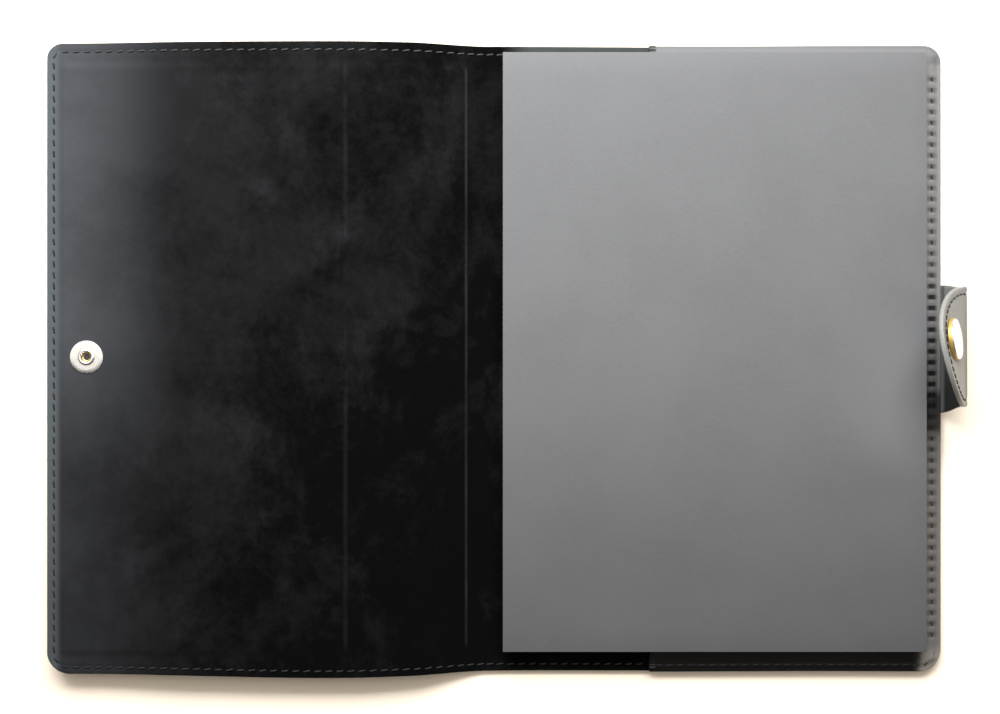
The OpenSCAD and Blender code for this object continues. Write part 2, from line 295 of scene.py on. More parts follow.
def suede():
    """Black napped leather, mottled, creased at the board's edge, with painted highlights towards the left
    edge and along the head, and painted shade towards the foot.
    """
    g = Graph("suede")
    x, y = g.axis("X"), g.axis("Y")
    patches = g.noise(20.0, 8.0, 0.7)
    streaks = g.noise(55.0, 6.0, 0.7, (1.0, 0.55, 1.0))
    blots = g.noise(48.0, 6.0, 0.72, (1.0, 0.8, 1.0))
    nap = g.noise(1500.0, 4.0, 0.7)
    dark, mid_grey, pale = (0.0006, 0.0006, 0.0006), (0.0085, 0.0085, 0.0088), (0.055, 0.057, 0.063)
    # painted highlight, paler towards the outer edge, and painted shade, darker towards the foot
    inner_side = g.ramp(x, -0.15, -0.01, 0.76, 0.07)
    foot = g.ramp(y, -0.105, 0.1, -0.22, 0.16)
    tone = g.plus(g.plus(inner_side, foot), g.ramp(patches, 0.38, 0.62, -0.26, 0.3))
    tone = g.plus(tone, g.ramp(g.noise(170.0, 6.0, 0.75), 0.34, 0.66, -0.16, 0.16), True)
    # painted highlight on the left edge, strongest on its upper part
    edge = g.ramp(x, -0.160, -0.108, 1.0, 0.0)
    upper = g.ramp(y, -0.045, 0.02, 0.3, 1.0)
    left_edge_highlight = g.times(g.times(edge, upper), g.ramp(patches, 0.3, 0.62, 0.7, 1.0))
    # the lines of the board's edge and of the pocket's mouth, broken up and ending short of the seams
    broken = g.ramp(g.noise(120.0, 4.0, 0.7, (1.0, 0.3, 1.0)), 0.35, 0.62)
    inner = g.ramp(g.away(y), 0.1005, 0.1035, 1.0, 0.0)
    crease = g.times(g.times(g.band(x, BOARD_EDGE * MM, 0.0007), inner), g.ramp(broken, 0.0, 1.0, 0.45, 1.0))
    imprint = g.times(g.times(g.band(x, IMPRINT * MM, 0.0013), inner), g.times(broken, 0.11))
    # painted highlight along the very edge of the front panel
    rim = g.times(g.ramp(x, -0.1565, -0.1535, 1.0, 0.0), g.ramp(y, -0.1, 0.0, 0.6, 0.9))
    # painted highlight along the head of the back panel
    head = g.times(g.ramp(y, 0.104, 0.106), g.ramp(x, 0.0, 0.012))
    g.put("Base Color", g.layered(
        g.mix(tone, dark, mid_grey), (g.times(g.ramp(streaks, 0.5, 0.8), 0.1), pale),
        (g.times(g.ramp(blots, 0.54, 0.72), 0.075), pale), (g.times(left_edge_highlight, 0.95), pale),
        (g.times(crease, 0.32), (0.05, 0.05, 0.052)), (imprint, (0.045, 0.045, 0.047)),
        (rim, (0.072, 0.08, 0.085)), (head, (0.04, 0.045, 0.043))))
    g.put("Roughness", 0.95)
    g.put("Specular IOR Level", 0.05)
    g.put("Sheen Weight", 0.03)
    g.put("Sheen Roughness", 0.5)
    g.bump((nap, 0.5, 0.0002), (streaks, 0.25, 0.0005))
    return g.material


def thread():
    """Twisted black thread, with a painted highlight along the head, strongest where it runs over the
    pocket.
    """
    g = Graph("thread")
    twist = g.tree.nodes.new("ShaderNodeTexWave")
    twist.bands_direction = "DIAGONAL"
    twist.inputs["Scale"].default_value = 900.0
    g.put(twist.inputs["Vector"], g.coords)
    base = g.mix(twist.outputs["Fac"], (0.006, 0.006, 0.006), (0.02, 0.02, 0.021))
    # painted highlight on the stitches along the head
    head = g.mix(g.ramp(g.axis("X"), 0.052, 0.056), (0.038, 0.038, 0.039), (0.115, 0.115, 0.117))
    g.put("Base Color", g.mix(g.ramp(g.axis("Y"), 0.102, 0.105), base, head))
    g.put("Roughness", 0.75)
    g.put("Specular IOR Level", 0.25)
    g.bump((twist.outputs["Fac"], 0.5, 0.0001))
    return g.material


def card():
    """Grey card with short fibres, with painted shade towards the foot and painted light beside the tab."""
    g = Graph("notebook_card")
    fibres = g.noise(700.0, 4.0, 0.6, (1.0, 2.4, 1.0))
    clouds = g.noise(28.0, 5.0, 0.6)
    tone = g.plus(g.times(fibres, 0.45), g.times(clouds, 0.55))
    plain = g.mix(g.ramp(tone, 0.35, 0.65), (0.098, 0.098, 0.100), (0.112, 0.112, 0.114))
    x, y = g.axis("X"), g.axis("Y")
    # painted shade, darker towards the foot
    foot = g.ramp(y, -0.11, 0.03, 0.42, 0.0)
    # painted light beside the tab, lifting the tab's shadow
    tab_side_painted_light = g.times(g.ramp(g.away(y, -0.011), 0.01, 0.036, 0.75, 0.0), g.ramp(x, 0.11, 0.147))
    g.put("Base Color", g.layered(plain, (foot, (0.03, 0.03, 0.031)), (tab_side_painted_light, (0.14, 0.14, 0.142))))
    g.put("Roughness", g.ramp(clouds, 0.3, 0.7, 0.56, 0.62))
    g.put("Specular IOR Level", 0.42)
    g.bump((fibres, 0.2, 0.00012), (g.noise(2200.0, 2.0), 0.12, 0.00006))
    return g.material


def paper():
    """Cream paper, in fine layers at its cut edges."""
    g = Graph("paper")
    layers = g.noise(900.0, 3.0, 0.6, (0.15, 0.15, 6.0))
    g.put("Base Color", g.mix(layers, (0.34, 0.32, 0.27), (0.46, 0.44, 0.39)))
    g.put("Roughness", 0.85)
    g.bump((layers, 0.4, 0.0001))
    return g.material


def nickel():
    """Polished nickel, dulled a little in patches."""
    g = Graph("nickel")
    tone_mask = g.noise(260.0, 5.0, 0.65)
    g.put("Base Color", g.mix(g.ramp(tone_mask, 0.5, 0.75), (0.93, 0.92, 0.9), (0.8, 0.77, 0.7)))
    g.put("Metallic", 1.0)
    g.put("Roughness", g.ramp(tone_mask, 0.3, 0.8, 0.2, 0.34))
    g.bump((g.noise(1200.0, 2.0), 0.05, 0.00005))
    return g.material


def brass():
    """Dull brass."""
    g = Graph("brass")
    tone_mask = g.noise(300.0, 4.0, 0.6)
    g.put("Base Color", g.mix(tone_mask, (0.42, 0.25, 0.06), (0.6, 0.4, 0.13)))
    g.put("Metallic", 0.7)
    g.put("Roughness", 0.45)
    g.bump((tone_mask, 0.05, 0.00005))
    return g.material


def floor_white():
    g = Graph("floor")
    g.put("Base Color", g.mix(g.noise(3.0), (0.945, 0.83, 0.69), (0.955, 0.845, 0.705)))
    g.put("Roughness", 0.9)
    g.put("Specular IOR Level", 0.1)
    return g.material


LEATHER_MAT = smooth_leather()
POCKET_MAT = pocket_leather()
TAB_MAT = tab_leather()
SUEDE_MAT = suede()
THREAD_MAT = thread()
CARD_MAT = card()
PAPER_MAT = paper()
NICKEL_MAT = nickel()
BRASS_MAT = brass()


# ---- Mesh building ----
def add_piece(name, verts, faces, material, sharp=40):
    """A mesh object from points in millimetres, smooth but for edges over sharp degrees."""
    mesh = bpy.data.meshes.new(name)
    mesh.from_pydata([tuple(c * MM for c in v) for v in verts], [], faces)
    bm = bmesh.new()
    bm.from_mesh(mesh)
    bmesh.ops.recalc_face_normals(bm, faces=bm.faces)
    bm.to_mesh(mesh)
    bm.free()
    mesh.shade_smooth()
    mesh.set_sharp_from_angle(angle=math.radians(sharp))
    mesh.materials.append(material)
    obj = bpy.data.objects.new(name, mesh)
    bpy.context.collection.objects.link(obj)
    return obj


def paint(node, material):
    """A CAD node that stays in view gets its finished material."""
    slots = frame["nodes"][node].data.materials
    slots.clear()
    slots.append(material)


def ease(t):
    t = min(max(t, 0.0), 1.0)
    return t * t * (3 - 2 * t)


def underside(x):
    """Height of the outer leather's underside over the table at rest."""
    z = FRONT_LOW * ease((RISE_FROM - x) / (RISE_FROM - RISE_TO))
    return z + BOW * ease((x - FRONT_EDGE - 12) / 40) * ease((CREASE - x) / 30)


def edge_y(x, side):
    """Where the leather's long edges run: close to straight, but fuller along the front panel."""
    base, full = (-0.1, 0.6) if side > 0 else (1.1, 1.0)
    reach = HALF_H + base + full * math.exp(-((x + 58) / 46) ** 2) + 0.1 * math.sin(x * 0.05 + side)
    for edge, end in ((OUT_LEFT, "front"), (OUT_RIGHT, "back")):
        r, inset = CORNERS[end, side], abs(edge - x)
        if inset < r:
            reach -= r - math.sqrt(max(r * r - (r - inset) ** 2, 0.0))
    return side * reach


# distances from an outer edge where the sheets have points: an edge with rounded corners, and a long edge
END_POINTS = [0.0, 0.06, 0.16, 0.3, 0.5, 0.75, 1.05, 1.4, 1.8, 2.25, 2.75, 3.3, 4.0, 4.8, 5.8, 7.0]
SIDE_POINTS = [0.0, 0.12, 0.35, 0.7, 1.15, 1.6, 2.0, 2.3, 2.6, 2.9, 3.3, 3.9, 4.7, 5.7, 7.0]


def spread(x0, x1, step, round_low, round_high):
    """Places from x0 to x1 a step apart, closer together along a rounded end."""
    first = [x0 + e for e in END_POINTS] if round_low else [x0]
    last = [x1 - e for e in reversed(END_POINTS)] if round_high else [x1]
    n = max(2, round((last[0] - first[-1]) / step))
    middle = [first[-1] + (last[0] - first[-1]) * i / n for i in range(1, n)]
    return first + middle + last


def sheet_grid(name, x0, x1, bottom, top, ends, material, step=1.0, trim=0.0):
    """A closed leather sheet from x0 to x1. bottom(x, y, d) and top(x, y, d) give its faces' heights,
    with d the distance from the cover's edge; ends says which ends are outer edges with rounded corners."""
    xs = spread(x0, x1, step, *ends)
    inner = 2 * (HALF_H - SIDE_POINTS[-1])
    n = round(inner / step)
    offsets = SIDE_POINTS + [SIDE_POINTS[-1] + inner * i / n for i in range(1, n)]
    total = 2 * HALF_H
    fracs = [o / total for o in offsets] + [1 - o / total for o in reversed(SIDE_POINTS)]
    verts, index = [], {}
    for i, x in enumerate(xs):
        y_low, y_high = edge_y(x, -1) + trim, edge_y(x, 1) - trim
        for j, f in enumerate(fracs):
            y = y_low + (y_high - y_low) * f
            d = min(y - y_low, y_high - y)
            if ends[0]:
                d = min(d, x - x0)
            if ends[1]:
                d = min(d, x1 - x)
            for k, face in enumerate((bottom, top)):
                index[i, j, k] = len(verts)
                verts.append((x, y, face(x, y, d)))
    faces = []

    def quad(*corners):
        faces.append(tuple(index[c] for c in corners))

    last_i, last_j = len(xs) - 1, len(fracs) - 1
    for i in range(last_i):
        for j in range(last_j):
            for k in (0, 1):
                quad((i, j, k), (i + 1, j, k), (i + 1, j + 1, k), (i, j + 1, k))
        for j in (0, last_j):
            quad((i, j, 0), (i + 1, j, 0), (i + 1, j, 1), (i, j, 1))
    for j in range(last_j):
        for i in (0, last_i):
            quad((i, j, 0), (i, j + 1, 0), (i, j + 1, 1), (i, j, 1))
    return add_piece(name, verts, faces, material, 50)


def rounding(d, r):
    """How far a face drops beside an edge of radius r, at a distance d from it."""
    return r - math.sqrt(max(r * r - (r - d) ** 2, 0.0)) if d < r else 0.0


def stitch_dip(d, along, margin=MARGIN):
    """Depth of the seam's furrow and its stitch holes, d from the edge."""
    furrow = math.exp(-((d - margin) / 0.75) ** 2)
    hole = 0.5 - 0.5 * math.cos(2 * math.pi * along / PITCH)
    return furrow * (0.12 + 0.2 * hole ** 3)


def outer_bottom(x, y, d):
    return underside(x) + rounding(d, 0.5)


def outer_top(x, y, d):
    return underside(x) + LEATHER


def lining_bottom(x, y, d):
    return underside(x) + LEATHER + 0.01 + board_lift(x, y)


def board_lift(x, y):
    """How far the stiffener board raises the lining over it."""
    inside = min(x - (FRONT_EDGE + 5), BOARD_EDGE - x, HALF_H - 8 - y, y + HALF_H - 6.5)
    return BOARD_STEP * ease(inside / 1.5 + 0.5)


def lining_top(x, y, d):
    """The suede's face: small folds along the spine, the board's raised edge, the line that the pocket's
    mouth presses into it, and the seam's furrow."""
    z = underside(x) + SKIN + board_lift(x, y)
    if -9 < x < 2:
        fold = math.sin((x + 0.35 * math.sin(y * 0.11) + 0.2 * math.sin(y * 0.31)) * 2.6)
        z += 0.13 * fold * ease((x + 9) / 3) * ease((2 - x) / 3)
    z += 0.06 * math.exp(-((x - BOARD_EDGE) / 0.6) ** 2)
    z -= 0.06 * math.exp(-((x - IMPRINT) / 0.9) ** 2)
    along = y if abs(y) < HALF_H - 8 else x
    at_head = y > HALF_H - 6 and x > OUT_LEFT + 6
    return z - rounding(d, 0.45) - stitch_dip(d, along, HEAD_MARGIN if at_head else MARGIN)


# the lengths of the cover that bend at one fold each, with the bodies to its two sides and the CAD's panels
SEGMENTS = {
    "front": dict(x0=OUT_LEFT, x1=SPLIT_STRIP, ends=(True, False), bodies=("hinge_strip", "front_cover"),
                  fold=CREASE, reach=CREASE_REACH, panels=("front",)),
    "strip": dict(x0=SPLIT_STRIP, x1=SPLIT_SPINE, ends=(False, False), bodies=("spine", "hinge_strip"),
                  fold=FOLD_FRONT, reach=FOLD_REACH, panels=("strip", "spine")),
    "back": dict(x0=SPLIT_SPINE, x1=OUT_RIGHT, ends=(False, True), bodies=("back_cover", "spine"),
                 fold=FOLD_BACK, reach=FOLD_REACH, panels=("back",)),
}


def bend_with(piece):
    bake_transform(piece)


def build_cover_sheets():
    for part, s in SEGMENTS.items():
        outer = sheet_grid(part + "_leather_sheet", s["x0"], s["x1"], outer_bottom, outer_top, s["ends"],
                           LEATHER_MAT)
        inner = sheet_grid(part + "_suede_sheet", s["x0"], s["x1"], lining_bottom, lining_top, s["ends"],
                           SUEDE_MAT, trim=0.05)
        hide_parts(*[panel + "_outer_leather" for panel in s["panels"]])
        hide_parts(*[panel + "_lining" for panel in s["panels"]])
        bend_with(outer)
        bend_with(inner)
    build_board()


def build_board():
    """The stiffener, which lies between the two leathers and arches with them."""
    x0, x1, half = FRONT_EDGE + 6.0, SPLIT_STRIP, HALF_H - 8.5
    gap, top = 0.02, 0.5    # its two faces' heights over the outer leather
    n = 60
    verts, faces = [], []
    for i in range(n + 1):
        x = x0 + (x1 - x0) * i / n
        z = underside(x) + LEATHER
        verts += [(x, -half, z + gap), (x, half, z + gap), (x, half, z + top), (x, -half, z + top)]
    for i in range(n):
        a, b = 4 * i, 4 * i + 4
        faces += [(a + k, a + (k + 1) % 4, b + (k + 1) % 4, b + k) for k in range(4)]
    faces += [(0, 1, 2, 3), (4 * n, 4 * n + 1, 4 * n + 2, 4 * n + 3)]
    piece = add_piece("stiffener_card", verts, faces, PAPER_MAT)
    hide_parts("front_stiffener_board")
    bend_with(piece)


# ---- Pocket ----
def pocket_height(d):
    """The pocket leather's height, where it dips from the notebook's board to the edge seam."""
    edge_z = SKIN + POCKET_T
    return edge_z + (POCKET_TOP - edge_z) * ease((d - 0.9) / 2.9)


def pocket_bottom(x, y, d):
    return pocket_height(d) - POCKET_T


def pocket_top(x, y, d):
    """The pocket's face, with a dimple for each stitch of the fore edge and a furrow along the others."""
    z = pocket_height(d) - 0.35 * rounding(d, 0.6)
    if x > OUT_RIGHT - 7 and abs(y) < HALF_H - 9:
        dimple = (0.5 - 0.5 * math.cos(2 * math.pi * y / PITCH)) ** 2
        return z - 0.55 * dimple * math.exp(-((d - FORE_MARGIN) / 1.2) ** 2)
    return z - (0.25 if y > 0 else 1.0) * stitch_dip(d, x)


def build_pocket():
    piece = sheet_grid("pocket_leather", MOUTH, OUT_RIGHT, pocket_bottom, pocket_top, (False, True),
                       POCKET_MAT, step=0.8, trim=-0.05)
    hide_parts("pocket_panel")
    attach(piece, "back_cover")


# ---- Stitches ----
def stitch(verts, faces, centre, along, across, up, length=STITCH_LENGTH, radius=STITCH_RADIUS):
    """One stitch: a short thread whose ends dive into their holes."""
    rings, sides = 9, 8
    arch, dive, dive_from = 0.16, 0.5, 0.72    # its rise at the middle, and how deep its ends go, from where
    first = len(verts)
    for i in range(rings):
        t = 2 * i / (rings - 1) - 1
        lift = arch * (1 - abs(t) ** 3) - dive * max(abs(t) - dive_from, 0.0) / (1 - dive_from)
        c = centre + along * (t * length / 2) + up * lift
        r = radius * (1.0 - 0.35 * abs(t) ** 4)
        for k in range(sides):
            a = 2 * math.pi * k / sides
            verts.append(c + across * (r * math.cos(a)) + up * (r * 0.8 * math.sin(a)))
    for i in range(rings - 1):
        for k in range(sides):
            a, b = first + i * sides + k, first + i * sides + (k + 1) % sides
            faces.append((a, b, b + sides, a + sides))
    faces.append(tuple(first + k for k in range(sides)))
    faces.append(tuple(first + (rings - 1) * sides + k for k in range(sides)))


def seam_path(points, spacing):
    """Evenly spaced (point, direction) pairs along a line of points."""
    points = [Vector(p) for p in points]
    lengths = [0.0]
    for a, b in zip(points, points[1:]):
        lengths.append(lengths[-1] + (b - a).length)
    n = max(1, round(lengths[-1] / spacing))
    out, k = [], 0
    for i in range(n):
        s = (i + 0.5) * lengths[-1] / n
        while lengths[k + 1] < s:
            k += 1
        step = points[k + 1] - points[k]
        out.append((points[k] + step * ((s - lengths[k]) / step.length), step.normalized()))
    return out


def edge_line(x0, x1, side):
    """Points of the seam along a long edge, from x0 to x1."""
    n = max(4, round(abs(x1 - x0) / 2))
    xs = [x0 + (x1 - x0) * i / n for i in range(n + 1)]
    inset = HEAD_MARGIN if side > 0 else MARGIN
    return [(x, edge_y(x, side) - side * inset, 0.0) for x in xs]


def corner_line(end, side):
    """Points of the seam round a corner, from the short edge to the long one."""
    r, towards = CORNERS[end, side], (1 if end == "front" else -1)
    edge = OUT_LEFT if end == "front" else OUT_RIGHT
    cx = edge + towards * r
    cy = edge_y(cx, side) - side * r
    inset = HEAD_MARGIN if side > 0 else MARGIN
    return [(cx - towards * (r - MARGIN) * math.cos(a), cy + side * (r - inset) * math.sin(a), 0.0)
            for a in [math.pi / 2 * i / 6 for i in range(7)]]


def lay_stitches(name, line, height, holder, nodes=(), under=False, length=STITCH_LENGTH):
    """A seam along a line. Its holder is the body that it rides on, or the segment whose sheets it lies on,
    in which case it is only baked in place.
    """
    verts, faces = [], []
    up = Vector((0, 0, -1 if under else 1))
    for p, along in seam_path(line, PITCH):
        here = Vector((p.x, p.y, height(p.x, p.y)))
        ahead = Vector((p.x + along.x, p.y + along.y, height(p.x + along.x, p.y + along.y)))
        d = (ahead - here).normalized()
        slant = math.radians(SLANT + random.uniform(-SLANT_PLAY, SLANT_PLAY))
        d = Matrix.Rotation(slant, 3, up) @ d
        stitch(verts, faces, here, d, d.cross(up).normalized(), up, length)
    piece = add_piece(name, verts, faces, THREAD_MAT, 60)
    if nodes:
        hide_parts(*nodes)
    if isinstance(holder, str):
        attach(piece, holder)
    else:
        bend_with(piece)


def build_stitches():
    """The edge seam on both faces of the cover, in the pocket's leather, and the tacks at its mouth."""
    def on_suede(x, y):
        return underside(x) + SKIN - 0.16

    def under_leather(x, y):
        return underside(x) + 0.18

    def on_pocket(x, y):
        return pocket_height(MARGIN) - 0.3

    def in_dimples(x, y):
        return pocket_height(FORE_MARGIN) - 0.55

    left = (edge_line(SPLIT_STRIP, OUT_LEFT + 8.2, -1) + corner_line("front", -1)[::-1]
            + corner_line("front", 1) + edge_line(OUT_LEFT + 6, SPLIT_STRIP, 1))
    foot = edge_line(MOUTH + MOUTH_GAP, OUT_RIGHT - 8.2, -1) + corner_line("back", -1)[::-1]
    head = corner_line("back", 1) + edge_line(OUT_RIGHT - 6.2, MOUTH + MOUTH_GAP, 1)
    fore = [(OUT_RIGHT - FORE_MARGIN, side * FORE_STITCHES * PITCH, 0.0) for side in (-1, 1)]
    inner_seams = (("strip", SPLIT_STRIP, SPLIT_SPINE, SEGMENTS["strip"]),
                   ("gutter", SPLIT_SPINE, MOUTH - MOUTH_GAP, SEGMENTS["back"]))
    for tag, height, under in (("inside", on_suede, False), ("outside", under_leather, True)):
        nodes = [] if under else ["front_seam_thread"]
        lay_stitches("front_seam_" + tag, left, height, SEGMENTS["front"], nodes, under)
        for side, word in ((1, "top"), (-1, "foot")):
            for part, x0, x1, segment in inner_seams:
                line = edge_line(x0, x1, side)
                lay_stitches(f"{part}_seam_{word}_{tag}", line, height, segment, under=under)
    lay_stitches("fore_seam_inside", fore, in_dimples, "back_cover", ["back_seam_thread"], length=2.3)
    for line, word in ((foot, "foot"), (head, "head")):
        lay_stitches("pocket_seam_" + word, line, on_pocket, "back_cover")
    lay_stitches("edge_seam_outside", foot + head, under_leather, "back_cover", under=True)
    build_tacks()


def build_tacks():
    """Four stitches across each end of the pocket's mouth."""
    verts, faces = [], []
    up = Vector((0, 0, 1))
    for side in (1, -1):
        for i in range(4):
            c = Vector((MOUTH + 0.9, side * (HALF_H - 3.3 + 0.9 * i), POCKET_TOP - 0.55 + 0.12 * i))
            stitch(verts, faces, c, Vector((1, 0, 0)), Vector((0, 1, 0)), up, 2.4, 0.34)
    tacks = add_piece("pocket_tacks", verts, faces, THREAD_MAT, 60)
    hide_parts("pocket_bar_tacks")
    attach(tacks, "back_cover")


# ---- Notebook ----
def card_board(node, body, overhang):
    """One of the notebook's boards, with its edges softened by a bevel and its faces cut into a grid."""
    lo, hi = low(node), high(node)
    hi[0] += overhang
    bm = bmesh.new()
    bmesh.ops.create_cube(bm, size=1.0)
    for v in bm.verts:
        v.co = Vector([(lo[i] + hi[i]) / 2 + v.co[i] * (hi[i] - lo[i]) for i in range(3)])
    bmesh.ops.bevel(bm, geom=list(bm.edges), offset=BOARD_BEVEL, segments=3, affect="EDGES", profile=0.6)
    cuts = 24
    for axis in (0, 1):
        for i in range(1, cuts):
            at = Vector(lo)
            at[axis] = lo[axis] + (hi[axis] - lo[axis]) * i / cuts
            normal = Vector((axis == 0, axis == 1, 0))
            bmesh.ops.bisect_plane(bm, geom=list(bm.verts) + list(bm.edges) + list(bm.faces), plane_co=at,
                                   plane_no=normal)
    verts = [tuple(v.co) for v in bm.verts]
    faces = [tuple(v.index for v in f.verts) for f in bm.faces]
    bm.free()
    piece = add_piece(node.replace("notebook", "card"), verts, faces, CARD_MAT, 35)
    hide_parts(node)
    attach(piece, body)


def build_pages():
    """The pages as thin leaves, each a hair out of line with the next."""
    lo, hi = low("notebook_page_block"), high("notebook_page_block")
    leaves = 20
    t = (hi[2] - lo[2]) / leaves
    verts, faces = [], []
    for i in range(leaves):
        dx, dy = random.uniform(-0.12, 0.0), random.uniform(-0.1, 0.1)
        first = len(verts)
        z0, z1 = lo[2] + i * t + 0.01, lo[2] + (i + 1) * t - 0.012
        for z in (z0, z1):
            for x, y in ((lo[0], lo[1] + 0.1), (hi[0] + dx, lo[1] + 0.1 + dy * 0.9),
                         (hi[0] + dx, hi[1] - 0.1 + dy), (lo[0], hi[1] - 0.1)):
                verts.append((x, y, z))
        faces += [tuple(first + k for k in q) for q in
                  ((0, 3, 2, 1), (4, 5, 6, 7), (0, 1, 5, 4), (1, 2, 6, 5), (2, 3, 7, 6), (3, 0, 4, 7))]
    piece = add_piece("notebook_pages", verts, faces, PAPER_MAT, 30)
    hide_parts("notebook_page_block")
    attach(piece, "notebook")


def build_notebook():
    build_pages()
    card_board("notebook_back_board", "notebook", 0.0)
    card_board("notebook_front_board", "notebook_cover", FORE_OVERHANG)
    paint("notebook_spine_cloth", CARD_MAT)
    paint("notebook_endpaper", PAPER_MAT)
    paint("notebook_staples", NICKEL_MAT)


# ---- Metal ----
UPRIGHT = Vector((1, 0, 0)), Vector((0, 1, 0)), Vector((0, 0, 1))
DOWNWARD = Vector((1, 0, 0)), Vector((0, -1, 0)), Vector((0, 0, -1))


def turned(name, profile, base, axes, material, body, nodes=(), sides=64):
    """A turned part from (radius, height) points, standing on base along the last of its axes."""
    axis_x, axis_y, axis_z = axes
    verts, faces = [], []
    n = len(profile)
    for k in range(sides):
        a = 2 * math.pi * k / sides
        for r, h in profile:
            verts.append(base + axis_x * (r * math.cos(a)) + axis_y * (r * math.sin(a)) + axis_z * h)
    for k in range(sides):
        m = (k + 1) % sides
        for i in range(n):
            j = (i + 1) % n
            faces.append((k * n + i, m * n + i, m * n + j, k * n + j))
    piece = add_piece(name, verts, faces, material, 35)
    if nodes:
        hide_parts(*nodes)
    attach(piece, body)


def arc_profile(r0, h0, r1, h1, n=6):
    """Points along a quarter ellipse from (r0, h0), heading up, to (r1, h1)."""
    return [(r1 + (r0 - r1) * math.cos(a), h0 + (h1 - h0) * math.sin(a))
            for a in [math.pi / 2 * i / n for i in range(n + 1)]]


def build_snap_on_panel():
    """The eyelet on the suede, with its hollow post and brass throat, and the stud on the outside."""
    lo, hi = low("snap_eyelet"), high("snap_eyelet")
    x, y = (lo[0] + hi[0]) / 2, (lo[1] + hi[1]) / 2
    face = Vector((x, y, underside(x) + SKIN + BOARD_STEP))
    ring = [(2.75, -0.3), (5.75, -0.3), (5.8, 0.25), (5.7, 0.38), (5.3, 0.44), (4.4, 0.45), (3.4, 0.46),
            (2.75, 0.46)]
    turned("eyelet_flange", ring, face, UPRIGHT, NICKEL_MAT, "front_cover", ["snap_eyelet"])
    well = [(1.55, -1.9), (2.76, -1.9), (2.76, 0.3), (2.98, 0.5), (2.88, 0.8), (2.62, 0.95), (2.2, 1.0),
            (1.85, 0.9), (1.62, 0.6), (1.56, 0.1)]
    turned("eyelet_post", well, face, UPRIGHT, NICKEL_MAT, "front_cover")
    plug = [(0.001, -1.9), (1.7, -1.9), (1.56, 0.25), (1.25, 0.03), (0.7, -0.1), (0.001, -0.14)]
    turned("eyelet_throat", plug, face, UPRIGHT, BRASS_MAT, "front_cover")
    base = Vector((x, y, underside(x) + 0.02))
    tall = high("snap_stud")[2] - low("snap_stud")[2] - STUD_CUT
    foot = [(0.6, -0.2), (5.6, -0.2)] + arc_profile(5.6, 0.1, 5.0, 0.55)
    neck = [(3.2, 0.7), (2.75, 1.0), (2.55, 1.8), (2.9, tall - 1.75), (3.28, tall - 1.35), (3.3, tall - 1.0)]
    crown = arc_profile(3.25, tall - 0.8, 2.3, tall - 0.02) + [(0.8, tall - 0.05), (0.6, tall - 0.6)]
    turned("stud_post", foot + neck + crown, base, DOWNWARD, NICKEL_MAT, "front_cover", ["snap_stud"])


# ---- Tab ----
ROOT = Vector(joint_at("tab_swing"))
BEND = Vector(joint_at("tab_wrap"))
TAB_T = 1.5
BEND_R = 4.0
TIP_R = 20.6
TIP_TO_SNAP = 9.5
TAB_MARGIN = 2.4               # from the tab's edge to its stitches
LEAN = math.radians(12)
TWIST = math.radians(0.5)      # how much further the slope leans in, for each millimetre up the tab's width
CAP_TILT = math.radians(6.5)   # the cap stands a little steeper than the leather under it
HALF_AT_BEND, HALF_AT_SEAM = 20.6, 22.6
MIDDLE_AT_BEND, MIDDLE_AT_SEAM = ROOT.y + 0.6, ROOT.y - 0.2
ROOT_SHARE = 0.2               # how much of the lower link belongs to the root's piece
LINK = (BEND - ROOT).normalized()
LINK_LEN = (BEND - ROOT).length
LINK_IN = Vector((-LINK.z, 0, LINK.x))    # towards the inside of the curl


def spoke(turn):
    """The direction from the bend's pivot to the strap, this far round the bend."""
    return -LINK_IN * math.cos(turn) + LINK * math.sin(turn)


def snap_axes():
    """The socket's centre, the direction up the tab's slope, and the direction into the curl."""
    def middle(node):
        return Vector(np.array([v.co for v in frame["nodes"][node].data.vertices]).mean(0)) / MM
    inward = (middle("snap_socket") - middle("snap_cap"))
    inward.y = 0
    inward.normalize()
    uphill = Vector((-inward.z, 0, inward.x))
    return middle("snap_socket"), (uphill if uphill.z > 0 else -uphill), inward


SNAP, UPHILL, INWARD = snap_axes()
TURN = LINK.angle(UPHILL)
PIVOT = BEND + LINK_IN * BEND_R
BEND_END = PIVOT + spoke(TURN) * BEND_R
SNAP_S = (SNAP - BEND_END).dot(UPHILL)
TIP_BACK = TIP_R - TIP_TO_SNAP
TIP_C = (SNAP_S - TIP_BACK * math.cos(LEAN), SNAP.y - TIP_BACK * math.sin(LEAN))
TIP_STEPS = 48


def twist_at(y):
    return TWIST * (y - SNAP.y)


def slope_at(y):
    """The directions up and into the tab's upper part at y, where it twists from one edge to the other."""
    a = twist_at(y)
    return UPHILL * math.cos(a) + INWARD * math.sin(a), INWARD * math.cos(a) - UPHILL * math.sin(a)


def arm_point(s, y, inside=0.0):
    """A point of the tab's upper part: s up the slope from the bend, and inside it by that much."""
    up, into = slope_at(y)
    p = BEND_END + up * s + into * inside
    return Vector((p.x, y, p.z))


def arm_outline(inset=0.0):
    """(s, y) points round the upper part from one end of the bend to the other, inset by that much."""
    r, half = TIP_R - inset, HALF_AT_BEND - inset
    arc = [LEAN - math.pi / 2 + math.pi * i / TIP_STEPS for i in range(TIP_STEPS + 1)]
    round_end = [(TIP_C[0] + r * math.cos(a), TIP_C[1] + r * math.sin(a)) for a in arc]
    return ([(0.0, MIDDLE_AT_BEND - half)] + [p for p in round_end if p[0] > 0.4]
            + [(0.0, MIDDLE_AT_BEND + half)])


def chord(points, s):
    """Lowest and highest y of an outline at s."""
    ys = []
    for (s0, y0), (s1, y1) in zip(points, points[1:]):
        if min(s0, s1) <= s <= max(s0, s1) and s0 != s1:
            ys.append(y0 + (y1 - y0) * (s - s0) / (s1 - s0))
    return min(ys), max(ys)


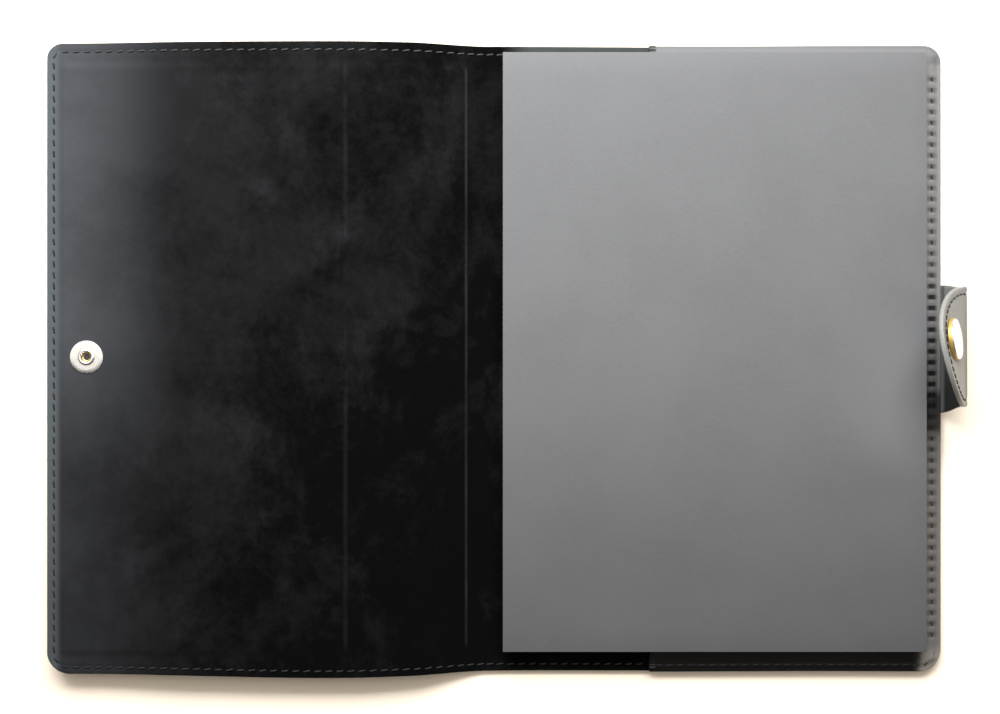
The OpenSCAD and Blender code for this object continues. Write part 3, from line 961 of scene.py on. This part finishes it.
def strap(name, rows, parts, material):
    """A strap from rows of (place, s, low y, high y, thickness). place(y, inside) gives a point of the row,
    and s is how far up the slope the row lies, or 0 before the slope starts."""
    cols = 35
    fs = [0.5 - 0.5 * math.cos(math.pi * i / (cols - 1)) for i in range(cols)]
    outline = arm_outline()
    verts, faces = [], []
    for i, (place, s, y0, y1, thick) in enumerate(rows):
        for f in fs:
            y = y0 + (y1 - y0) * f
            edge = min(y - y0, y1 - y)
            if s > 0:
                edge = min(edge, min(math.hypot(s - a, y - b) for a, b in outline[1:-1]))
            depth = max(thick / 2 - 0.75 * rounding(edge, 0.6), 0.04)
            groove = 0.3 * math.exp(-((edge - TAB_MARGIN) / 0.4) ** 2) if i > 1 else 0.0
            for sign in (-1, 1):
                p = place(y, sign * depth + (groove if sign < 0 else 0.0))
                verts.append((p.x, y, p.z))
    n = 2 * cols
    for i in range(len(rows) - 1):
        for j in range(cols - 1):
            a = i * n + 2 * j
            faces += [(a, a + 2, a + n + 2, a + n), (a + 1, a + n + 1, a + n + 3, a + 3)]
        for a in (i * n, i * n + n - 2):
            faces.append((a, a + 1, a + n + 1, a + n))
    for i in (0, len(rows) - 1):
        for j in range(cols - 1):
            a = i * n + 2 * j
            faces.append((a, a + 1, a + 3, a + 2))
    piece = add_piece(name, verts, faces, material, 50)
    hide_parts(*parts)
    return piece


def flat_row(c, inside, y0, y1, thick):
    """A row of the strap that lies straight across it."""
    return (lambda y, depth: c + inside * depth), 0.0, y0, y1, thick


def link_row(t):
    """A row of the lower link, t of the way up it. The strap bellies out a little and narrows."""
    belly = 0.25 * math.sin(math.pi * t)
    half = HALF_AT_SEAM + (HALF_AT_BEND - HALF_AT_SEAM) * ease(t)
    y = MIDDLE_AT_SEAM + (MIDDLE_AT_BEND - MIDDLE_AT_SEAM) * t
    return flat_row(ROOT + LINK * (LINK_LEN * t) - LINK_IN * belly, LINK_IN, y - half, y + half,
                    TAB_T * min(1.0, 0.6 + 2.0 * t))


def bend_row(share):
    """A row of the bend. It turns further where the upper part leans further in."""
    def place(y, depth):
        out = spoke((TURN + twist_at(y)) * share)
        return PIVOT + out * BEND_R - out * depth
    return place, 0.0, MIDDLE_AT_BEND - HALF_AT_BEND, MIDDLE_AT_BEND + HALF_AT_BEND, TAB_T


def arm_row(s, outline):
    """A row of the upper part. The bend ends where its own turn does, and the slope starts there."""
    lo, hi = chord(outline, s)

    def place(y, depth):
        start = PIVOT + spoke(TURN + twist_at(y)) * BEND_R
        return arm_point(s, y, depth) + (start - BEND_END) * math.exp(-s / 3.0)
    return place, s, lo, hi, TAB_T


def build_strap():
    """The strap's sewn root, curving up out of the seam, and the strap from there to its round end."""
    y0, y1 = MIDDLE_AT_SEAM - HALF_AT_SEAM, MIDDLE_AT_SEAM + HALF_AT_SEAM
    root_rows = [flat_row(ROOT + Vector((dx, 0, -0.2 + 0.02 * (dx + 4))), Vector((0, 0, 1)), y0, y1, 0.8)
                 for dx in (-11.0, -6.0, -3.2, -1.8)]
    for a in (18, 38, 60):
        inside = Vector((-math.sin(math.radians(a)), 0, math.cos(math.radians(a))))
        c = ROOT + Vector((-1.2, 0, 0.9)) - inside * 1.1 + Vector((0.2 * a / 60, 0, 0.1))
        root_rows.append(flat_row(c, inside, y0, y1, 0.85 + a * 0.003))
    root_rows += [link_row(t) for t in (0.06, 0.13, ROOT_SHARE)]
    foot = strap("tab_root", root_rows, ["tab_sewn_end"], LEATHER_MAT)
    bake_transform(foot)
    rows = [link_row(ROOT_SHARE + (1 - ROOT_SHARE) * i / 9) for i in range(10)]
    rows += [bend_row(i / 8) for i in range(1, 9)]
    outline = arm_outline()
    reach, steps = max(p[0] for p in outline) - 0.02, 34
    rows += [arm_row(reach * math.sin(math.pi / 2 * i / steps), outline) for i in range(1, steps + 1)]
    body = strap("tab_strap", rows, ["tab_link_leather", "tab_arm_leather"], TAB_MAT)
    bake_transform(body)


def build_tab_seam():
    verts, faces = [], []
    path = [arm_point(s, y, -TAB_T / 2 - 0.02) for s, y in arm_outline(TAB_MARGIN)]
    path[0], path[-1] = path[0] + (path[1] - path[0]) * 0.1, path[-1] + (path[-2] - path[-1]) * 0.1
    for p, along in seam_path(path, 2.6):
        stitch(verts, faces, p + INWARD * 0.12, along, along.cross(INWARD).normalized(), -INWARD, 2.1, 0.24)
    piece = add_piece("tab_seam", verts, faces, THREAD_MAT, 60)
    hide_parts("tab_edge_thread")
    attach(piece, "tab_arm")


def cap_axes():
    """Directions up, across and out of the cap, which follows the leather's twist and stands steeper."""
    twisted = SNAP_S * TWIST
    side = (Vector((0, 1, 0)) + INWARD * twisted).normalized()
    out = (Vector((0, twisted, 0)) - INWARD * math.cos(CAP_TILT) - UPHILL * math.sin(CAP_TILT)).normalized()
    return side.cross(out).normalized(), side, out


def build_snap_on_tab():
    """The cap's rim and dome on the face of the strap, and the socket with its floor on the inside."""
    axes = cap_axes()
    back = arm_point(SNAP_S, SNAP.y, -TAB_T / 2) + axes[2] * 0.4 + Vector((0, 0.4, 0))
    rim = [(6.0, -0.9), (6.85, -0.9), (7.05, -0.7), (7.05, 0.35), (6.95, 0.5), (6.0, 0.5)]
    turned("cap_rim", rim, back, axes, BRASS_MAT, "tab_arm", sides=96)
    dome = ([(0.001, 0.1), (6.7, 0.1), (6.85, 0.45)] + arc_profile(6.85, 0.5, 6.4, 0.85)
            + [(6.4 * (1 - i / 10) + 0.001, 0.85 + 0.6 * (1 - (1 - i / 10) ** 2)) for i in range(1, 11)])
    turned("cap_dome", dome, back, axes, NICKEL_MAT, "tab_arm", ["snap_cap"], 96)
    face = arm_point(SNAP_S, SNAP.y, TAB_T / 2)
    socket_axes = UPHILL, Vector((0, 1, 0)), INWARD
    bowl = ([(3.65, -1.0), (4.2, -1.0), (4.25, -0.05), (5.4, -0.05), (5.6, 0.2), (5.5, 0.55)]
            + arc_profile(5.3, 0.9, 4.7, 1.5, 4)
            + [(4.3, 1.75), (3.95, 1.8), (3.7, 1.6), (3.65, 1.3), (4.3, 1.1), (4.3, 0.75), (3.65, 0.6)])
    turned("socket_bowl", bowl, face, socket_axes, NICKEL_MAT, "tab_arm", ["snap_socket"])
    floor_disc = [(0.001, -0.95), (3.7, -0.95), (3.7, -0.7), (3.2, -0.6), (0.001, -0.55)]
    turned("socket_floor", floor_disc, face, socket_axes, BRASS_MAT, "tab_arm")
    paint("snap_spring", NICKEL_MAT)


def build_tab():
    build_strap()
    build_tab_seam()
    build_snap_on_tab()


# ---- Studio, in metres, and the camera's sensor and lens in millimetres ----
FLOOR_SIZE = 6.0
CAMERA_HEIGHT = 0.43
SENSOR_WIDTH, LENS = 36.0, 43.38
WALL_FADES = (0.08, 0.3)        # how far above the horizon the walls' glow starts and ends its fading
WALL_GLOW, ROOM_GLOW = 0.85, 0.11


def soft_light(name, size, place, target, power, colour):
    data = bpy.data.lights.new(name, "AREA")
    data.shape = "RECTANGLE"
    data.size, data.size_y = size
    data.energy = power
    data.color = colour
    obj = bpy.data.objects.new(name, data)
    bpy.context.collection.objects.link(obj)
    obj.location = place
    obj.rotation_euler = (Vector(target) - Vector(place)).to_track_quat("-Z", "Y").to_euler()


def build_surroundings():
    """A dim warm room, with pale walls low down all round."""
    world = bpy.data.worlds.new("studio")
    world.use_nodes = True
    nodes, links = world.node_tree.nodes, world.node_tree.links
    direction = nodes.new("ShaderNodeSeparateXYZ")
    links.new(nodes.new("ShaderNodeTexCoord").outputs["Generated"], direction.inputs[0])
    wall = nodes.new("ShaderNodeMapRange")
    wall.interpolation_type = "SMOOTHSTEP"
    for socket, number in zip(list(wall.inputs)[1:5], (*WALL_FADES, WALL_GLOW, ROOM_GLOW)):
        socket.default_value = number
    links.new(direction.outputs["Z"], wall.inputs[0])
    background = nodes["Background"]
    background.inputs["Color"].default_value = (1.0, 0.92, 0.83, 1)
    links.new(wall.outputs[0], background.inputs["Strength"])
    bpy.context.scene.world = world


def build_studio():
    bpy.ops.mesh.primitive_plane_add(size=FLOOR_SIZE, location=(0, 0, 0))
    floor = bpy.context.object
    floor.name = "floor"
    floor.data.materials.append(floor_white())
    soft_light("window", (0.7, 0.26), (-0.04, 0.43, 0.42), (0.0, 0.02, 0.0), 10.6, (0.95, 0.975, 1.0))
    soft_light("ceiling", (2.4, 1.1), (0.0, 0.5, 1.0), (0, 0.5, 0), 11.0, (1.0, 0.96, 0.9))
    build_surroundings()
    bpy.context.scene.view_settings.view_transform = "Standard"
    camera = bpy.data.cameras.new("camera")
    camera.sensor_width = SENSOR_WIDTH
    camera.lens = LENS
    eye = bpy.data.objects.new("camera", camera)
    eye.location = (0, 0, CAMERA_HEIGHT)
    bpy.context.collection.objects.link(eye)
    bpy.context.scene.camera = eye


build_cover_sheets()
build_pocket()
build_stitches()
build_notebook()
build_snap_on_panel()
build_tab()
build_studio()
